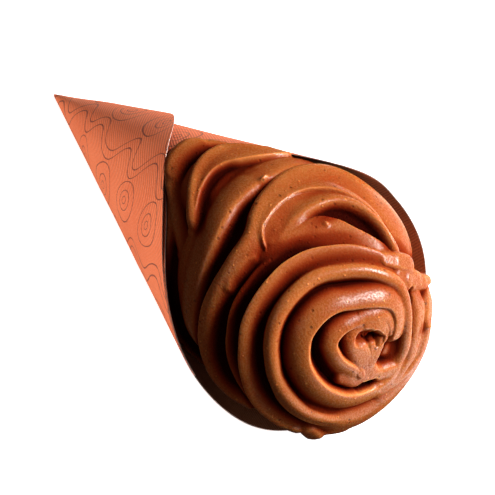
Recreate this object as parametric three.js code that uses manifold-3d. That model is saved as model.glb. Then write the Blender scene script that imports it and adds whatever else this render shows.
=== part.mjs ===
// A chocolate gelato rose in a rolled paper cone, lying on its side. Millimetres, +Z up.
//
// The cone is drawn in its own frame and laid down at the end: z runs along the axis from the
// tip to the mouth, and azimuth 0 is the side that ends up on top. The origin of the finished
// part is on the flattened strip that it rests on, REST_FROM_TIP along it from the tip.
import * as THREE from 'three';
import { mergeVertices } from 'three/addons/utils/BufferGeometryUtils.js';
import Module from 'manifold-3d';

// ---- driving sizes -------------------------------------------------------------------------
const HALF_ANGLE = 15.0; // of the paper cone, degrees
const LIE_ANGLE = 14.8; // between the axis and the table: the paper is pressed flat by the rest
const REST_FROM_TIP = 125; // along the strip it rests on, from the tip to the part's origin
const PAPER = 0.6; // thickness of the rolled sheet
const GAP = 0.3; // between the paper and the gelato

// Height of the paper's edge along the axis, every 30 degrees from azimuth -45.
const EDGE_FROM = -45;
const EDGE_STEP = 30;
const EDGE_HEIGHT = [149, 110, 104, 126.5, 141, 153, 164, 169, 171, 170.5, 165.7, 157.8];

// The sheet's outer end is a flap that stands off the layer under it.
const FLAP_FROM = -50; // azimuth of its free edge
const FLAP_TO = 105; // azimuth where it has merged with the cone
const FLAP_HEIGHT = [66, 86, 104.5, 126, 140.5, 152.5]; // of its edge, as EDGE_HEIGHT
const FLAP_CORNER = 14; // degrees taken by the rounded corner
const FLAP_CORNER_DROP = 11; // how far the corner falls away
const FLAP_LIFT = 0.04; // stand-off for each millimetre from the tip, at the free edge

// The mound of gelato, before its petals: values every 45 degrees from azimuth 0.
const MOUND_TOP = 188.5; // height of its top along the axis
const MOUND = {
  radius: [35.0, 36.5, 39.2, 42.5, 43.6, 41.5, 36.3, 36.3], // where it is widest
  widest: [138, 148, 156, 163, 170, 169, 158, 145], // height of that place
  contact: [101, 126, 143, 158, 166, 164, 142, 123], // height where it meets the paper
  square: [2.0, 2.1, 2.4, 3.0, 3.8, 3.8, 2.9, 2.3], // 2 is round, more is a flatter top
};
const FILL_FROM = 14; // the gelato reaches this near to the tip

// Petals laid over one another from the paper to the rose's heart. Each is a ridge that runs
// from one azimuth to another. reach is how far its crest lies from the mound's top, over the
// surface, and rise how high it stands there, both at even steps along it. outer and inner
// are the slopes of its two sides, and round is the radius of its crest.
const PETALS = [
  { name: 'skirt', from: -10, to: 130, outer: 0.25, inner: 0.12, round: 3.0,
    reach: [74, 73, 70, 67, 64, 60, 55, 50], rise: [-1.5, -0.6, -0.6, -0.6, -0.8, -2] },
  { name: 'broad band', from: -75, to: 125, outer: 0.28, inner: 1.0, round: 2.5,
    reach: [66, 67.5, 67, 64.5, 62.5, 62, 61, 60.5, 57, 52], rise: [-3, -0.5, 0.6, 0.6, 0.5, 0.2, -0.5, -3] },
  { name: 'lobe over the paper', from: -45, to: 70, outer: 0.5, inner: 1.3, round: 2.0,
    reach: [90, 94, 97, 97, 92, 85, 79], rise: [-5, 0.6, 1.0, 0.9, 0.3, -1, -4] },
  { name: 'tongue', from: -55, to: 44, outer: 1.5, inner: 0.9, round: 1.2,
    reach: [68, 74, 79.5, 81.8, 79.5, 75, 70], rise: [-4, 0.3, 1.5, 1.6, 1.4, 1.4, -1.5] },
  { name: 'great petal', from: -95, to: 116, outer: 0.8, inner: 0.22, round: 1.5,
    reach: [32, 46, 58, 60, 58, 53.5, 50, 50, 50.5, 51, 50, 46.5, 40],
    rise: [-4, 0.4, 1, 1, 1, 1, 0.9, 0.6, 0.3, 0, -1.5] },
  { name: 'its inner lip', from: -54, to: 20, outer: 0.1, inner: 2.5, round: 0.8,
    reach: [36, 46, 52, 53.2, 52.5, 50.5, 46], rise: [-3, 0.6, 0.9, 0.9, 0.9, 0.9, 0.2] },
  { name: 'rounded fold', from: -64, to: 30, outer: 0.35, inner: 1.6, round: 1.0,
    reach: [24, 34, 42.5, 46.5, 46, 44.5, 41], rise: [-3, 0.9, 1.4, 1.4, 0.9, 0.2, -1.5] },
  { name: 'saddle', from: -58, to: 36, outer: 1.8, inner: 0.12, round: 0.8,
    reach: [26, 32.5, 38.5, 43, 41, 37, 33], rise: [-2, -0.9, -0.9, -0.9, -0.9, -1.2, -2] },
  { name: 'first skirt petal', from: -4, to: 122, outer: 2.5, inner: 0.35, round: 0.8,
    reach: [34.6, 38, 40.2, 41.8, 42.9, 42.6, 40.8, 39, 37.2], rise: [-4, 0, 0.4, 0.4, 0.4, 0.2, -2.5] },
  { name: 'second skirt petal', from: -78, to: 205, outer: 2.5, inner: 0.42, round: 0.8,
    reach: [22, 27.3, 29.6, 30.6, 34.6, 38, 39, 38.4, 38.9, 41, 43, 45],
    rise: [-4, 0.6, 0.9, 0.9, 0.9, 0.8, 0.6, -0.4, -3] },
  { name: 'ring petal', from: -80, to: 285, outer: 1.3, inner: 1.6, round: 1.3,
    reach: [18, 20.2, 24, 28.6, 31, 30, 27.4, 26, 26.5, 27, 27, 25, 24, 21],
    rise: [-3, 1.2, 1.4, 1.4, 1.4, 1.4, 1.2, 0.8, 0.8, 0.6, 0] },
  { name: 'inner petal', from: -118, to: 215, outer: 0.75, inner: 2.4, round: 0.9,
    reach: [14.5, 12.9, 12.4, 13.9, 17.3, 19, 18, 16.6, 16.8, 18, 19, 20],
    rise: [-2, 1.3, 1.6, 1.8, 1.8, 1.8, 1.8, 1.8, 1.8, 1, -2] },
  { name: 'its far end', from: 170, to: 300, outer: 0.5, inner: 1.2, round: 0.9,
    reach: [18, 18.8, 19.2, 18.6, 17.6, 17.5], rise: [-1, 1.2, 1.6, 1.4, 1, -2] },
  { name: 'heart petal', from: -80, to: 150, outer: 0.8, inner: 2.0, round: 0.8,
    reach: [10.4, 9.6, 9.4, 11, 12.2, 10.8, 9, 8.6, 8.6], rise: [-3, 1, 1.2, 1.3, 1.4, 1.4, 1.2, 0.6, -2] },
];
const CREASE_FLOOR = -4.5; // no crease is deeper than this under the mound
const PIT = { azimuth: 0, reach: 5, radius: 2, depth: 4, slope: 2.5 }; // in the rose's heart
const EDGE_BLEND = 0.07; // share of each meridian, next to the paper, where the relief fades

// ---- facets --------------------------------------------------------------------------------
const AROUND = 80; // of the gelato
const MOUND_RINGS = 60;
const FILL_RINGS = 2;
const PAPER_AROUND = 73; // odd, so that one facet is centred under the axis

// ---- curves --------------------------------------------------------------------------------
const rad = THREE.MathUtils.degToRad;
const smooth = THREE.MathUtils.smoothstep;

/** A smooth curve through values at even steps, read at a share from 0 to 1. */
function through(values, share) {
  const last = values.length - 1;
  const x = THREE.MathUtils.clamp(share, 0, 1) * last;
  const i = Math.min(Math.floor(x), last - 1);
  return catmull(values[Math.max(i - 1, 0)], values[i], values[i + 1], values[Math.min(i + 2, last)], x - i);
}

/** The same for values that go once round, read at an angle in degrees. */
function round(values, degrees) {
  const n = values.length;
  const x = THREE.MathUtils.euclideanModulo(degrees / 360, 1) * n;
  const i = Math.floor(x);
  const at = (k) => values[THREE.MathUtils.euclideanModulo(k, n)];
  return catmull(at(i - 1), at(i), at(i + 1), at(i + 2), x - i);
}

function catmull(a, b, c, d, t) {
  return 0.5 * (2 * b + (c - a) * t + (2 * a - 5 * b + 4 * c - d) * t * t + (3 * b - a - 3 * c + d) * t ** 3);
}

/** Radius of the paper's outside for each millimetre along the axis: a cone with one flat side. */
function wallSlope(azimuth) {
  const down = Math.cos(rad(azimuth - 180));
  const flat = down > 0 ? Math.tan(rad(LIE_ANGLE)) / down : Infinity;
  return Math.min(Math.tan(rad(HALF_ANGLE)), flat);
}

const edgeHeight = (azimuth) => round(EDGE_HEIGHT, azimuth - EDGE_FROM);

/** Distance covered by one millimetre across the sheet, measured square to the axis. */
const acrossSheet = (thickness) => thickness / Math.cos(rad(HALF_ANGLE));

const point = (radius, azimuth, z) =>
  new THREE.Vector3(radius * Math.cos(rad(azimuth)), radius * Math.sin(rad(azimuth)), z);

// ---- solids --------------------------------------------------------------------------------
/** Draws a closed geometry out into another shape: place gives each vertex its new position. */
function reshaped(geometry, place) {
  const position = geometry.getAttribute('position');
  for (let i = 0; i < position.count; i += 1) {
    const p = place(new THREE.Vector3().fromBufferAttribute(position, i));
    position.setXYZ(i, p.x, p.y, p.z);
  }
  geometry.deleteAttribute('normal');
  geometry.deleteAttribute('uv');
  return facingOut(shorterDiagonals(mergeVertices(geometry)));
}

/** Splits each four-sided cell of a ring mesh along its shorter diagonal. */
function shorterDiagonals(geometry) {
  const at = (k) => new THREE.Vector3().fromBufferAttribute(geometry.getAttribute('position'), k);
  const index = geometry.index.array;
  for (let i = 0; i + 5 < index.length; i += 3) {
    const [a, b, d, b2, c, d2] = index.slice(i, i + 6);
    if (b !== b2 || d !== d2) continue;
    if (at(a).distanceTo(at(c)) < at(b).distanceTo(at(d))) index.set([a, b, c, a, c, d], i);
    i += 3;
  }
  return geometry;
}

/** Turns all faces over if they enclose a negative volume. */
function facingOut(geometry) {
  const corner = [0, 1, 2].map(() => new THREE.Vector3());
  const index = geometry.index.array;
  let volume = 0;
  for (let i = 0; i < index.length; i += 3) {
    corner.forEach((v, k) => v.fromBufferAttribute(geometry.getAttribute('position'), index[i + k]));
    volume += corner[0].dot(corner[1].cross(corner[2]));
  }
  if (volume < 0) index.reverse();
  return geometry;
}

const wasm = await Module();
wasm.setup();

function toSolid(geometry) {
  return new wasm.Manifold(new wasm.Mesh({
    numProp: 3,
    vertProperties: geometry.getAttribute('position').array,
    triVerts: new Uint32Array(geometry.index.array),
  }));
}

function toGeometry(solid) {
  const mesh = solid.getMesh();
  const geometry = new THREE.BufferGeometry();
  geometry.setAttribute('position', new THREE.BufferAttribute(mesh.vertProperties, 3));
  geometry.setIndex(new THREE.BufferAttribute(mesh.triVerts, 1));
  return geometry;
}

/** Ring number and azimuth of a vertex of a unit sphere that has so many rings. */
function ringOf(vertex, rings) {
  const ring = Math.round((Math.acos(THREE.MathUtils.clamp(vertex.y, -1, 1)) / Math.PI) * rings);
  const azimuth = THREE.MathUtils.radToDeg(Math.atan2(vertex.z, vertex.x));
  return { ring, azimuth };
}

/** The cup of the cone: a sphere's rings drawn out over the outside, the edge and the inside. */
function cup(grow) {
  const tip = 1.4 - grow;
  const innerEnd = FILL_FROM - 3 + grow;
  const inside = acrossSheet(PAPER + grow);
  const outside = acrossSheet(grow);
  const rings = [
    () => [0, tip],
    (slope) => [0.5 * slope * tip + outside, tip + 0.1],
    (slope) => [0.9 * slope * (tip + 0.5) + outside, tip + 0.5],
    (slope) => [slope * (tip + 3) + outside, tip + 3],
    (slope, edge) => [slope * (edge + grow) + outside, edge + grow],
    (slope, edge) => [slope * (edge + grow) - inside, edge + grow],
    (slope) => [slope * innerEnd - inside, innerEnd],
    () => [0, innerEnd - 1],
  ];
  const last = rings.length - 1;
  return reshaped(new THREE.SphereGeometry(1, PAPER_AROUND, last), (vertex) => {
    const { ring, azimuth } = ringOf(vertex, last);
    const [radius, z] = rings[ring](wallSlope(azimuth), edgeHeight(azimuth));
    return point(radius, azimuth, z);
  });
}

/** The flap: a box bent round the cup, with its near side sunk into the cup's wall. */
function flap(grow) {
  const start = 8; // from the tip
  const size = [26, 6, 1];
  return reshaped(new THREE.BoxGeometry(1, 1, 1, ...size), (vertex) => {
    const along = vertex.x + 0.5;
    const azimuth = FLAP_FROM - 0.6 * grow + (FLAP_TO - FLAP_FROM) * along;
    const intoCorner = THREE.MathUtils.clamp((FLAP_FROM + FLAP_CORNER - azimuth) / FLAP_CORNER, 0, 1);
    const edge = through(FLAP_HEIGHT, (azimuth - EDGE_FROM) / (EDGE_STEP * (FLAP_HEIGHT.length - 1)))
      - FLAP_CORNER_DROP * (1 - Math.sqrt(1 - intoCorner ** 2));
    const z = start + (edge + grow - start) * (vertex.y + 0.5);
    const free = 1 - smooth(azimuth, FLAP_FROM, 75);
    const sunk = Math.max(smooth(azimuth, 25, 95), 1 - smooth(z, 12, 40));
    const lift = FLAP_LIFT * z * free - acrossSheet(PAPER) * sunk - 0.05 * sunk;
    const across = vertex.z > 0 ? acrossSheet(PAPER + grow) : -acrossSheet(grow);
    return point(wallSlope(azimuth) * z + lift + across, azimuth, z);
  });
}

const paperSolid = (grow) => toSolid(cup(grow)).add(toSolid(flap(grow)));

// ---- gelato --------------------------------------------------------------------------------
/** Outline of the mound at one azimuth, from its top down to the paper, with its length. */
function meridian(azimuth) {
  const [radius, widest, contact, square] = Object.values(MOUND).map((values) => round(values, azimuth));
  const atPaper = contact * wallSlope(azimuth) - acrossSheet(PAPER + GAP);
  const steps = 120;
  const outline = [];
  for (let i = 0; i <= steps; i += 1) {
    const turn = (i / steps) * Math.PI;
    if (i <= steps / 2) {
      const [c, s] = [Math.cos(turn), Math.sin(turn)];
      const scale = (Math.abs(c) ** square + Math.abs(s) ** square) ** (-1 / square);
      outline.push(new THREE.Vector2(radius * s * scale, widest + (MOUND_TOP - widest) * c * scale));
    } else {
      const [c, s] = [Math.sin(turn), -Math.cos(turn)];
      outline.push(new THREE.Vector2(atPaper + (radius - atPaper) * c, widest - (widest - contact) * s));
    }
  }
  const reach = [0];
  for (let i = 1; i <= steps; i += 1) reach.push(reach[i - 1] + outline[i].distanceTo(outline[i - 1]));
  return { outline, reach, length: reach[steps] };
}

/** Point of a meridian at a distance over the surface from the mound's top: [radius, z]. */
function onMeridian({ outline, reach }, distance) {
  let i = reach.findIndex((r) => r >= distance);
  if (i < 0) i = reach.length - 1;
  if (i === 0) return outline[0].clone();
  const share = (distance - reach[i - 1]) / (reach[i] - reach[i - 1]);
  return outline[i - 1].clone().lerp(outline[i], share);
}

/** Height of one petal over the mound at an azimuth, a distance from the top and a radius. */
function petalHeight(petal, azimuth, distance, radius) {
  const middle = (petal.from + petal.to) / 2;
  const along = THREE.MathUtils.euclideanModulo(azimuth - middle + 180, 360) - 180 + middle - petal.from;
  const share = along / (petal.to - petal.from);
  if (share < 0 || share > 1) return -Infinity;
  const step = 0.5 / (petal.to - petal.from); // half a degree
  const drift = (through(petal.reach, share + step) - through(petal.reach, share - step)) / rad(1);
  const slant = Math.hypot(1, drift / Math.max(radius, 3));
  const side = (distance - through(petal.reach, share)) / slant;
  const slope = side > 0 ? petal.outer : petal.inner;
  return through(petal.rise, share) - slope * (Math.hypot(side, petal.round) - petal.round);
}

/** Point of the mound's smooth surface, and its outward direction. */
function onMound(azimuth, share) {
  const line = meridian(azimuth);
  const distance = share * line.length;
  const here = onMeridian(line, distance);
  const [before, after] = [-0.5, 0.5].map((d) =>
    onMeridian(line, THREE.MathUtils.clamp(distance + d, 0, line.length)));
  const out = new THREE.Vector2(before.y - after.y, after.x - before.x).normalize();
  return { here, distance, out };
}

const pitLine = meridian(PIT.azimuth);
const pitAt = onMeridian(pitLine, PIT.reach);
const pitCentre = point(pitAt.x, PIT.azimuth, pitAt.y);

/** The mound with its petals: height of the relief, laid along the surface's direction. */
function gelatoPoint(azimuth, share) {
  const { here, distance, out } = onMound(azimuth, share);
  let height = CREASE_FLOOR;
  for (const petal of PETALS) height = Math.max(height, petalHeight(petal, azimuth, distance, here.x));
  const fromPit = point(here.x, azimuth, here.y).distanceTo(pitCentre);
  height = Math.min(height, -PIT.depth + Math.max(0, fromPit - PIT.radius) * PIT.slope);
  height *= 1 - smooth(share, 1 - EDGE_BLEND, 1);
  const z = here.y + height * out.y;
  let radius = here.x + height * out.x;
  const roomInPaper = wallSlope(azimuth) * z - acrossSheet(PAPER + GAP);
  const overEdge = Math.max(0, z - edgeHeight(azimuth) - GAP);
  radius = Math.min(radius, roomInPaper + 1.2 * overEdge);
  return point(radius, azimuth, z);
}

/** The gelato as one body: the mound, and below it the cone's filling down to near the tip. */
function gelato() {
  const last = MOUND_RINGS + FILL_RINGS;
  const tuck = acrossSheet(PAPER + GAP);
  return reshaped(new THREE.SphereGeometry(1, AROUND, last), (vertex) => {
    const { ring, azimuth } = ringOf(vertex, last);
    if (ring === 0) return gelatoPoint(0, 0);
    if (ring <= MOUND_RINGS) return gelatoPoint(azimuth, ring / MOUND_RINGS);
    const radius = ring === last ? 0 : wallSlope(azimuth) * FILL_FROM - tuck;
    return point(radius, azimuth, FILL_FROM);
  });
}

/** The largest of the bodies that a cut leaves. */
function mainBody(solid) {
  return solid.decompose().sort((a, b) => b.volume() - a.volume())[0];
}

// ---- assembly ------------------------------------------------------------------------------
const paperLook = new THREE.MeshStandardMaterial({ color: 0xd9764c, roughness: 0.75, metalness: 0 });
const gelatoLook = new THREE.MeshStandardMaterial({ color: 0x8a4a26, roughness: 0.35, metalness: 0 });

const paperCone = new THREE.Mesh(toGeometry(paperSolid(0)), paperLook);
paperCone.name = 'paper_cone';

const iceCream = new THREE.Mesh(toGeometry(mainBody(toSolid(gelato()).subtract(paperSolid(GAP)))), gelatoLook);
iceCream.name = 'ice_cream';

// Laid down: the axis rises from the tip by LIE_ANGLE, and azimuth 0 comes out on top.
const [rise, run] = [Math.sin(rad(LIE_ANGLE)), Math.cos(rad(LIE_ANGLE))];
const laid = new THREE.Matrix4().makeBasis(
  new THREE.Vector3(-rise, 0, run),
  new THREE.Vector3(0, -1, 0),
  new THREE.Vector3(run, 0, rise),
);
const cone = new THREE.Group();
cone.quaternion.setFromRotationMatrix(laid);
cone.position.x = -REST_FROM_TIP;
cone.add(paperCone, iceCream);

export default cone;
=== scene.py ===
"""A chocolate gelato rose in a rolled paper cone that lies on its side.

Everything is in metres in the part's own frame: +Z up, with the origin on the flat strip that the
cone rests on. The two shapes are worked out in the cone's own measures, in millimetres: z runs
along the axis from the tip to the mouth, and azimuth 0 is the side that ends up on top. lay()
turns those measures into points of the part's frame.
"""

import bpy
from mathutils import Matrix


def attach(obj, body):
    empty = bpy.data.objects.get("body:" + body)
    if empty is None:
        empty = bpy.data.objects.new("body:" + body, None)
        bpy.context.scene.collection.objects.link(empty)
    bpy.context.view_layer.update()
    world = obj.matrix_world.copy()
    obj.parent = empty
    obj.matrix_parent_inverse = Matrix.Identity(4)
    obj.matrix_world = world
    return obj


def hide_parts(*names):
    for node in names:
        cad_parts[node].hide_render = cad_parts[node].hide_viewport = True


bl_info = {
    "name": "Gelato Cone",
    "version": (1, 0, 0),
    "blender": (4, 5, 0),
    "location": "3D View > Sidebar > Gelato Cone",
    "description": "Rolls the paper cone, pipes the gelato rose and sets the studio",
    "category": "Object",
}

import math

import bpy
import numpy as np
from bpy.props import FloatProperty, FloatVectorProperty, IntProperty, PointerProperty
from mathutils import Vector

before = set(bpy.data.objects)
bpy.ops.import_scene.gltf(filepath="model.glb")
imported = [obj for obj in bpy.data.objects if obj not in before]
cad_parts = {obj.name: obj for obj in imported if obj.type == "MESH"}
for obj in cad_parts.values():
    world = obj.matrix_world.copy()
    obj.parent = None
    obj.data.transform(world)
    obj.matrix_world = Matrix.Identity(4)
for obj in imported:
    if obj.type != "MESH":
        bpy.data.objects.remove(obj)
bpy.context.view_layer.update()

# ---- the cone's measures ----
HALF_ANGLE = 15.0  # of the paper cone, degrees
LIE_ANGLE = 14.8  # between the axis and the table
REST_FROM_TIP = 125.0  # from the tip to the frame's origin, along the strip it rests on
WALL = 0.6  # room for two layers of paper
GAP = 0.3  # between the paper and the gelato
TIP = 1.4  # height of the paper's closed end
FILL_FROM = 14.0  # the gelato reaches this near to the tip

# The sheet is rolled from its free edge, once round and on under itself: heights of its upper
# edge along the axis, every 30 degrees.
ROLL_FROM, ROLL_TO = -50.0, 465.0
EDGE_FROM = -45.0
SHEET_EDGE = [66, 86, 104.5, 126, 140.5, 152.5, 164, 169, 171, 170.5, 165.7, 157.8, 149, 110, 104,
              126.5, 141, 153]
CUP_EDGE = SHEET_EDGE[12:] + SHEET_EDGE[6:12]  # the uppermost edge, once round
CORNER = 14.0  # degrees taken by the free edge's rounded corner
CORNER_DROP = 11.0
FLAP_LIFT = 0.04  # stand-off for each millimetre from the tip, at the free edge
FLAP_DOWN = 75.0  # azimuth where the lifted flap lies down
ON_TOP = (25.0, 95.0)  # azimuths where the flap's layer sinks to the sheet's own level
UNDER_FROM = 385.0  # azimuth where the sheet's end begins to slip under the flap
BED = (130.0, 170.0, 190.0, 230.0)  # azimuths of the strip that lies on the table without waves
WAVE = 0.12  # height of the sheet's slight waves
RIB_SEAM = 180.0  # the ribs change direction here, under the cone
RIB_TILTS = (36.0, 116.0)  # their directions on the flat sheet, before and past the seam
PRINT_TURN = 0.13  # of the ornament on the flat sheet, radians
SHEET_GRID = (344, 56)  # squares of the sheet's mesh, along its winding and up its side

# The mound under the petals: values every 45 degrees from azimuth 0.
MOUND_TOP = 188.5
MOUND_RADIUS = [35.0, 36.5, 39.0, 39.8, 42.3, 41.0, 35.2, 36.3]
MOUND_WIDEST = [138, 148, 156, 163, 170, 169, 158, 145]
MOUND_CONTACT = [101, 126, 136, 144, 158, 162, 142, 123]
MOUND_SQUARE = [2.0, 2.1, 2.4, 3.0, 3.8, 3.8, 2.9, 2.3]
FLOOR = -7.0  # of the creases
SOFTNESS = 0.15  # with which petals run into each other
SHADE_DEPTH, SHARP_EDGE = 4.4, 0.3  # full marks of the painted crease shade for a deep crease, and of the painted edge highlight for a sharp edge
SHADE_STEPS = (1, 2, 4, 8, 8)  # in which the crests around a crease are looked for
EDGE_BLEND = 0.07  # share of the way to the paper over which the relief fades out
OVER_EDGE = (-24.0, -8.0, 27.0, 40.0)  # azimuths where the gelato comes up to and over the edge
OVERHANG = 2.6  # how far it hangs down outside
HANG_CLEAR = 0.7  # and how far off the paper
LIP = 0.4  # of gelato above the paper's edge there
SHOWN_SIDE, MORE_THERE = 15.0, 1.1  # the mesh is finest round this azimuth, by so much
STEEP_WEIGHT, BEND_WEIGHT, BEND_MOST = 1.2, 0.5, 8  # and where the relief is steep or bends
ROWS_INSIDE = 5  # of the mesh, down inside the paper

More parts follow.
